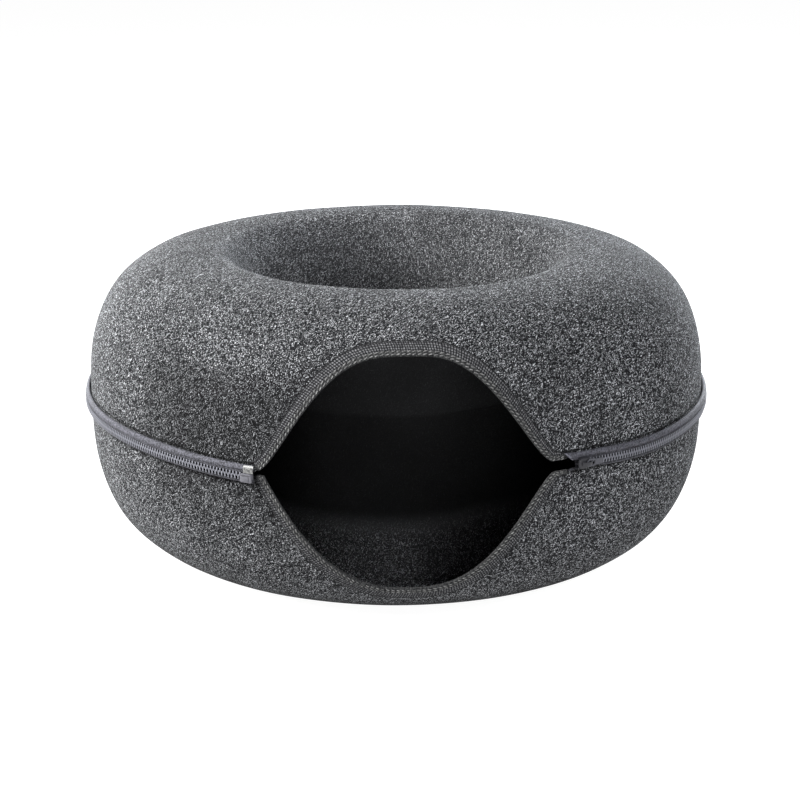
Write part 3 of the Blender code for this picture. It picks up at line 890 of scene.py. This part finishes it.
def binding(half, finish):
    """Tape folded over a lip: a closed section carried along it, its outer leg ribbed up to the selvedge.

    The section's sides stand half a thickness off its middle line, its ribs rise as a raised cosine of the
    distance along the lip and its selvedge as a bell, and its left end is cut on a slant. The map is the
    distance along the lip and round the section, with the selvedge marked by a jump for its painted shadow.
    """
    lip = LIPS[half]
    run = lip_run(lip)
    azimuth, along = run[0], run[3]
    wide = band_width(azimuth, lip)[:, None]
    across, proud = binding_line(lip, wide)
    step_across, step_proud = np.gradient(across, axis=1), np.gradient(proud, axis=1)
    length = np.hypot(step_across, step_proud)
    measured = np.cumsum(length, axis=1) - length[:, :1]
    from_fold = measured[:, [LEG_POINTS]] + 2 * MM - measured

    from_selvedge = wide - across
    on_leg = (proud > 0) & (np.arange(across.shape[1]) < LEG_POINTS)
    rib_zone = smooth_step((across - RIB_START * wide) / RIB_EASE)
    rib_zone = rib_zone * smooth_step((from_selvedge - SELVEDGE_WIDTH) / SELVEDGE_EASE)
    ribs = (0.5 + 0.5 * np.cos(2 * math.pi * along / RIB_PITCH))[:, None] * RIB_HEIGHT
    selvedge = SELVEDGE_HEIGHT * bell((from_selvedge - SELVEDGE_MIDDLE) / SELVEDGE_SPREAD)
    relief = np.where(on_leg, ribs * rib_zone + selvedge, 0.0)
    # The selvedge is marked by a jump in the map, for its painted shadow
    marked = SELVEDGE_SHADOW_MARK * smooth_step((SELVEDGE_WIDTH - from_selvedge) / SELVEDGE_EASE)
    from_fold = from_fold + np.where(on_leg, marked, 0.0)

    thick = np.full(across.shape[1], BINDING_THICKNESS / 2)
    thick[[0, -1]] *= BINDING_TAPER
    loop_across, loop_proud = (
        np.concatenate([middle + square * (thick + relief), (middle - square * thick)[:, ::-1]], axis=1)
        for middle, square in ((across, step_proud / length), (proud, -step_across / length))
    )
    cut = np.interp(np.where(loop_proud > 0, loop_across / wide, 0.0), (0.0, 0.5, 1.0), lip["cut"])
    cut_along = along[:, None] - cut * (1 - smooth_step(along / CUT_EASE))[:, None]
    shape = tube(on_strip(run, cut_along, loop_across, loop_proud))
    round_section = np.concatenate([from_fold, from_fold[:, ::-1]], axis=1)
    return make_piece("binding_fine_" + half, shape, finish, (along[:, None], round_section), 60.0), run


def stitches(half, run, finish):
    """Two rows of slanting stitches on a binding: each a thread that rises between its two needle holes.

    The thread's middle runs over t from -1 to 1, arched by 1 - t^2, and its radius shrinks with t^4.
    """
    seats = np.arange(STITCH_FROM_END, run[3][-1] - STITCH_FROM_END, STITCH_PITCH)
    wide = band_width(np.interp(seats, run[3], run[0]), LIPS[half])
    reach = np.linspace(-1.0, 1.0, 7)
    turn = np.arange(6) * math.pi / 3
    radius = THREAD_RADIUS * (1 - 0.6 * reach ** 4)[:, None]
    round_side, round_up = radius * np.cos(turn), radius * np.sin(turn)
    ahead = reach[:, None] * STITCH_REACH
    along = seats[:, None, None] + (ahead * math.cos(STITCH_SLANT) - math.sin(STITCH_SLANT) * round_side)
    slanted = ahead * math.sin(STITCH_SLANT) + math.cos(STITCH_SLANT) * round_side
    arch = BINDING_GAP + BINDING_THICKNESS - STITCH_SUNK + STITCH_ARCH * (1 - reach ** 2)[:, None]
    rows = []
    for row in STITCH_ROWS:
        across = (row * np.clip(wide / STITCH_FULL_BAND, 0.5, 1.0))[:, None, None] + slanted
        rows.append(on_strip(run, along, across, arch + round_up + 0 * along))
    return make_piece("stitches_" + half, joined([tube(thread) for thread in np.concatenate(rows)]), finish)


# ---- zip

def spread(azimuth, side):
    """How far a tape stands away from the zip's middle, eased in front of the slider."""
    return side * TAPES_PART[side] * smooth_step((SLIDER_MOUTH - azimuth) / SLIDER_EASE)


def rounded_section(corners):
    """Closed outline with its corners cut twice: each becomes two points at a quarter of its sides."""
    outline = np.array(corners, float)
    for _ in range(2):
        following = np.roll(outline, -1, axis=0)
        outline = np.stack([0.75 * outline + 0.25 * following, 0.25 * outline + 0.75 * following], axis=1)
        outline = outline.reshape(-1, 2)
    return outline


def zip_tape(half, finish):
    """One tape: a section carried round the zip, rolled over at its far edge, with a groove beside the teeth.

    Below the zip the tape is tucked in, more so at the left and by the slider. At the slider each tape's end
    is cut on a slant.
    """
    side = LIPS[half]["sign"]
    section = rounded_section(TAPE_SECTION) * MM
    azimuth = np.linspace(TAPE_END + (0.0 if side > 0 else LOWER_END), 360 + TAPE_START, TAPE_STATIONS)
    wrapped = wrap(azimuth)
    tucked = TUCK_RIGHT + (TUCK_LEFT - TUCK_RIGHT) * smooth_step(-wrapped / TUCK_EASE)
    under_slider = TUCK_SLIDER + (1 - TUCK_SLIDER) * smooth_step((azimuth - SLIDER_BACK) / SLIDER_EASE)
    width = np.ones_like(azimuth) if side > 0 else tucked * under_slider
    rise = section[:, 0] - TAPE_FOOT
    at_end = 1 - smooth_step((azimuth - TAPE_END) / SLANT_EASE)
    cut = TAPE_SLANT * rise / (TAPE_TOP - TAPE_FOOT) * at_end[:, None]
    up = TAPE_FOOT + rise * width[:, None]
    level = zip_level(wrapped) + spread(azimuth, side)
    shape = tube(polar(azimuth[:, None] - cut, section[:, 1], level[:, None] + side * up))
    along = np.radians(azimuth[:, None] - TAPE_END) * OUTER_RADIUS
    return make_piece("zip_tape_fine_" + half, shape, finish, (along, section[:, 0]), 50.0)


def signed_power(value, power):
    """Size of a value raised to a power, with the value's sign."""
    return np.sign(value) * np.abs(value) ** power


def zip_teeth(finish):
    """Every tooth of both rows, eight points round each station.

    Upper and lower teeth alternate by half a pitch, so each head lies between two necks of the other row.
    """
    stations = np.array(TOOTH_STATIONS) * MM
    turn = (np.arange(8) + 0.5) * math.pi / 4
    along_round, deep_round = (signed_power(wave(turn), TOOTH_ROUND) for wave in (np.cos, np.sin))
    middle = CHAIN_OUTER - TOOTH_DEPTH
    pitch = math.degrees(TOOTH_PITCH / middle)
    rows, charts = [], []
    for side, offset in ((1, 0.0), (-1, 0.5)):
        seat = (np.arange(TEETH_END, 360 + TEETH_START, pitch) + offset * pitch)[:, None, None]
        azimuth = seat + np.degrees(stations[:, 1, None] * along_round / middle)
        up = stations[:, 0, None] * side + zip_level(wrap(seat)) + spread(seat, side) + 0 * azimuth
        out = stations[:, 2, None] * deep_round + 0 * azimuth
        rows.append(polar(azimuth, middle + out, up))
        charts.append([out, up])
    shape = joined([tube(tooth) for tooth in np.concatenate(rows)])
    return make_piece("zip_teeth_fine", shape, finish, np.concatenate(charts, axis=1), 35.0)


def end_film(finish):
    """Film over the upper tape's end: a thin patch from the teeth to its rolled edge."""
    azimuth = np.linspace(FILM_START, FILM_END, 24)[:, None]
    inside = np.array(FILM_LINE) * MM
    loop = np.concatenate([inside + np.array([0.0, FILM_THICKNESS]), inside[::-1]])
    shape = tube(polar(azimuth, loop[:, 1], zip_level(azimuth) + loop[:, 0]))
    return make_piece("end_film_fine", shape, finish)


# ---- fittings of the zip, shaped in millimetres

def fitting(name, azimuth, shapes, finish, sharp):
    """Piece from shapes in millimetres as (along, up, out), set at an azimuth's tangent on the zip."""
    points, faces, caps = joined(shapes)
    along, up, out = points.T * MM
    turn = math.radians(azimuth)
    points = np.stack([
        out * math.sin(turn) + along * math.cos(turn),
        AXIS_Y - out * math.cos(turn) + along * math.sin(turn),
        up + zip_level(azimuth),
    ], axis=-1)
    return make_piece(name, (points, faces, caps), finish, sharp=sharp)


def set_out(outline, out):
    """Outline of (along, up) points set at a distance out from the axis."""
    return np.concatenate([outline, np.full((len(outline), 1), out)], axis=1)


def plate(outline, low, high, edge):
    """Slab between two distances out, its rims rounded: the outline shrunk by the edge at both faces."""
    middle = outline.mean(axis=0)
    size = np.abs(outline - middle).max(axis=0)
    rings = []
    for out, inset in ((low, edge), (low + 0.3 * edge, 0.3 * edge), (low + edge, 0.0),
                       (high - edge, 0.0), (high - 0.3 * edge, 0.3 * edge), (high, edge)):
        rings.append(set_out(middle + (outline - middle) * (1 - inset / size), out))
    return tube(np.stack(rings))


def frame_plate(outer, inner, low, high, edge):
    """Slab with an opening: rounded rims between an outer and an inner outline of as many points."""
    wall = outer - inner
    share = edge / np.linalg.norm(wall, axis=1).max()
    rings = []
    for out, along_wall in ((low, 1 - share), (low + edge, 1.0), (high - edge, 1.0), (high, 1 - share),
                            (high, share), (high - edge, 0.0), (low + edge, 0.0), (low, share)):
        rings.append(set_out(inner + wall * along_wall, out))
    return ring(np.stack(rings))


def superellipse(half_along, half_up, power, points=40, taper=0.0, centre=(0.0, 0.0)):
    """Closed outline |x/a|^p + |y/b|^p = 1 at even turns, narrower towards +along by the taper."""
    turn = np.arange(points) * 2 * math.pi / points
    along = half_along * signed_power(np.cos(turn), 2 / power)
    up = half_up * signed_power(np.sin(turn), 2 / power)
    return np.stack([along, up * (1 - taper * (along / half_along + 1) / 2)], axis=-1) + np.array(centre)


def bar(path, half_width, half_thick):
    """Flat bar along a path of (along, out) points: a rounded section carried square to the path."""
    run = np.gradient(path, axis=0)
    run /= np.linalg.norm(run, axis=1)[:, None]
    section = superellipse(half_width, half_thick, 4.0, 16)
    square = np.stack([-run[:, 1], run[:, 0]], axis=-1)
    rise = section[None, :, 1, None] * square[:, None, :]
    up = np.broadcast_to(section[None, :, 0], rise.shape[:2])
    return tube(np.stack([path[:, None, 0] + rise[..., 0], up, path[:, None, 1] + rise[..., 1]], axis=-1))


def slider(finish):
    """Slider body: top and bottom plate, neck, bridge that holds the pull, and a flange down each side."""
    turn = np.linspace(math.pi, 0.0, 13)
    arch = np.stack([1.0 + 3.9 * np.cos(turn), 256.3 + 2.5 * np.sin(turn) ** 0.5], axis=-1)
    flanges = (superellipse(4.6, 0.45, 4.0, 24, centre=(0.2, up)) for up in (-3.4, 3.4))
    return fitting("slider_fine", SLIDER_AZIMUTH, [
        plate(superellipse(5.6, 4.4, 3.2, taper=0.22), 255.2, 256.6, 0.45),
        plate(superellipse(5.2, 4.0, 3.2, taper=0.2), 250.7, 251.9, 0.35),
        plate(superellipse(1.5, 1.2, 2.0, 16, centre=(-4.2, 0.0)), 251.5, 255.6, 0.1),
        bar(arch, 1.3, 0.4),
        *(plate(flange, 253.9, 255.7, 0.15) for flange in flanges),
    ], finish, 30.0)


def pull(finish):
    """Pull lying along the zip: a head with an eye round the bridge, and a tab with a raised rim."""
    head = superellipse(4.0, 2.9, 3.5, 48, centre=(4.9, 0.0))
    eye = superellipse(2.6, 1.75, 4.0, 48, centre=(4.9, 0.0))
    tab, rim, well = (
        superellipse(half_along, half_up, 4.0, 48, centre=(11.6, 0.0))
        for half_along, half_up in ((3.6, 2.3), (3.5, 2.2), (2.7, 1.4))
    )
    return fitting("pull_fine", SLIDER_AZIMUTH, [
        frame_plate(head, eye, 256.95, 257.85, 0.25),
        plate(tab, 257.05, 257.7, 0.2),
        frame_plate(rim, well, 257.4, 257.95, 0.2),
    ], finish, 30.0)


def retainer_box(finish):
    """Box at the left end of the zip: a rounded block, a lip along its top, an end bar and a raised face."""
    return fitting("retainer_box_fine", BOX_AZIMUTH, [
        plate(superellipse(4.75, 3.4, 7.0, 48, centre=(0.0, -1.5)), 251.5, 254.7, 0.45),
        plate(superellipse(4.45, 0.5, 5.0, 24, centre=(0.0, 1.2)), 254.3, 255.3, 0.2),
        plate(superellipse(0.5, 3.1, 5.0, 24, centre=(4.05, -1.5)), 254.3, 255.2, 0.2),
        plate(superellipse(3.1, 2.0, 6.0, 40, centre=(-0.8, -2.2)), 254.3, 255.0, 0.3),
    ], finish, 35.0)


# ---- studio

def aimed(name, data, target, azimuth, elevation, distance):
    """Lamp or camera at an azimuth and elevation round a target, looking at it."""
    seat = bpy.data.objects.new(name, data)
    target = Vector(target)
    turn, rise = math.radians(azimuth), math.radians(elevation)
    level = math.cos(rise)
    way = Vector((level * math.sin(turn), -level * math.cos(turn), math.sin(rise)))
    seat.location = target + distance * way
    seat.rotation_euler = (target - seat.location).to_track_quat("-Z", "Y").to_euler()
    bpy.context.scene.collection.objects.link(seat)
    return seat


def studio(floor_paint):
    """Pale floor lit to white, dim surroundings, and a large softbox at the left among weaker ones."""
    corners = [(x * FLOOR_REACH, y * FLOOR_REACH, 0.0) for x, y in ((-1, -1), (1, -1), (1, 1), (-1, 1))]
    mesh = bpy.data.meshes.new("floor")
    mesh.from_pydata(corners, [], [(0, 1, 2, 3)])
    mesh.materials.append(floor_paint)
    floor = bpy.data.objects.new("floor", mesh)
    floor.location = (0.0, 0.0, -FLOOR_DROP)
    bpy.context.scene.collection.objects.link(floor)
    world = bpy.data.worlds.new("surroundings")
    world.use_nodes = True
    sky = world.node_tree.nodes["Background"].inputs
    sky["Color"].default_value = (1.0, 1.0, 1.0, 1.0)
    sky["Strength"].default_value = SURROUNDINGS
    bpy.context.scene.world = world
    for name, (azimuth, elevation, distance, size, power, tint) in SOFTBOXES.items():
        light = bpy.data.lights.new(name, "AREA")
        light.shape = "SQUARE"
        light.size = size
        light.energy = power
        light.color = tint
        aimed(name, light, (0.0, AXIS_Y, LIT_HEIGHT), azimuth, elevation, distance)


def camera():
    """Camera in front of the entrance, looking down on the ring."""
    lens = bpy.data.cameras.new("camera")
    lens.lens = CAMERA_LENS
    lens.sensor_width = CAMERA_SENSOR
    bpy.context.scene.camera = aimed("camera", lens, CAMERA_AIM, 0.0, CAMERA_ELEVATION, CAMERA_DISTANCE)


# ---- the bed

def dress(piece, slot, *nodes):
    """Hide the imported solids that the piece stands for. The piece and the slot are not used."""
    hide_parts(*nodes)


def build():
    """Make every piece of the bed."""
    felt = felt_finish()
    knit = knit_binding_finish()
    thread = thread_finish()
    tapes = {
        "upper": zip_tape_finish("zip_tape_weave", 0.76),
        # Painted shade: the lower tape is the same weave at about two thirds of the upper's tone, for the
        # shade where it is tucked under
        "lower": zip_tape_finish("zip_tape_weave_painted_shade", 0.48),
    }
    # Teeth with painted shade down their flanks
    teeth = plastic_finish("tooth_plastic", TINTS["teeth"], painted_flank_shade=True)
    box = plastic_finish("box_plastic", TINTS["box"])
    # Slider body: the pull's lacquer darkened as painted shade
    body = plastic_finish("slider_lacquer_painted_shade", TINTS["slider"], 0.4, Coat_Weight=0.1)
    tab = plastic_finish("pull_lacquer", TINTS["pull"], 0.4, Coat_Weight=0.1)
    for half in LIPS:
        shell = felt_half(half, felt)
        dress(shell, "felt", "shell_" + half)
        band, run = binding(half, knit)
        dress(band, "binding", "binding_" + half)
        sewing = stitches(half, run, thread)
        tape = zip_tape(half, tapes[half])
        dress(tape, "zip_tape", "zip_tape_" + half)
    dress(zip_teeth(teeth), "zip_teeth", "zip_chain")
    dress(retainer_box(box), "zip_teeth", "zip_box")
    dress(end_film(film_finish()), "zip_film", "zip_film")
    dress(slider(body), "slider", "zip_slider")
    dress(pull(tab), "slider", "zip_pull")


build()
studio(floor_finish())
camera()
bpy.context.scene.view_settings.view_transform = "Standard"
